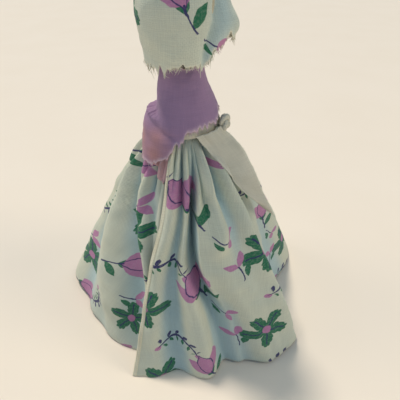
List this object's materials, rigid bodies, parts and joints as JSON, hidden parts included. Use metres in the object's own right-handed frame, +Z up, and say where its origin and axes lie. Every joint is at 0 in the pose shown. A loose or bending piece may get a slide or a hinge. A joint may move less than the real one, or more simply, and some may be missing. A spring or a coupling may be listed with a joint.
{
  "type": "cloth doll",
  "caption": "Small faceless wrapped cloth doll on a rolled column, with a printed head kerchief, a lilac bodice, a knotted sash with loose tails and a gathered printed wrap skirt.",
  "frame": {"origin": "centre of the flat foot of the rolled cloth column, on the surface the doll stands on", "axes": "+Z up through the neck to the head; -Y is the side where the skirt laps and the kerchief hangs closed; +X is the side with the sash knot; the plain face is on +Y"},
  "size_m": [0.0919, 0.0817, 0.1135],
  "materials": {
    "printed_cotton": "matte plain weave, printed",
    "lilac_cotton": "matte plain weave, raw edges",
    "plain_cotton": "matte plain weave, raw edges",
    "muslin": "matte open weave",
    "wadding": "soft fibre",
    "thread": "twisted cotton thread"
  },
  "bodies": {
    "trunk": {"core_roll": "muslin", "core_foot_tie": "thread", "undershirt": "muslin", "undershirt_tie": "thread", "skirt": "printed_cotton", "skirt_tie": "thread", "sash_band": "plain_cotton", "sash_knot": "plain_cotton", "bust_padding": "wadding", "bodice": "lilac_cotton"},
    "neck": {"neck_tie": "thread"},
    "head": {"head_wadding": "wadding", "head_cover": "muslin", "kerchief": "printed_cotton", "kerchief_knot": "printed_cotton"},
    "front_tail": {"sash_tail_front": "plain_cotton"},
    "back_tail": {"sash_tail_back": "plain_cotton"}
  },
  "joints": [
    {"name": "head_turn", "type": "hinge", "parent": "trunk", "child": "neck", "pos_m": [0, 0, 0.091], "axis": [0, 0, 1], "range_deg": [-35, 35], "stiffness_Nm_per_rad": 0.002},
    {"name": "head_nod", "type": "hinge", "parent": "neck", "child": "head", "pos_m": [0, 0, 0.091], "axis": [1, 0, 0], "range_deg": [-14, 12], "stiffness_Nm_per_rad": 0.004},
    {"name": "front_tail_swing", "type": "hinge", "parent": "trunk", "child": "front_tail", "pos_m": [0.00746, -0.00672, 0.0729], "axis": [-0.5, -0.866, 0], "range_deg": [0, 70]},
    {"name": "back_tail_swing", "type": "hinge", "parent": "trunk", "child": "back_tail", "pos_m": [0.00903, 0.0044, 0.0729], "axis": [0.5299, -0.848, 0], "range_deg": [0, 70]}
  ]
}
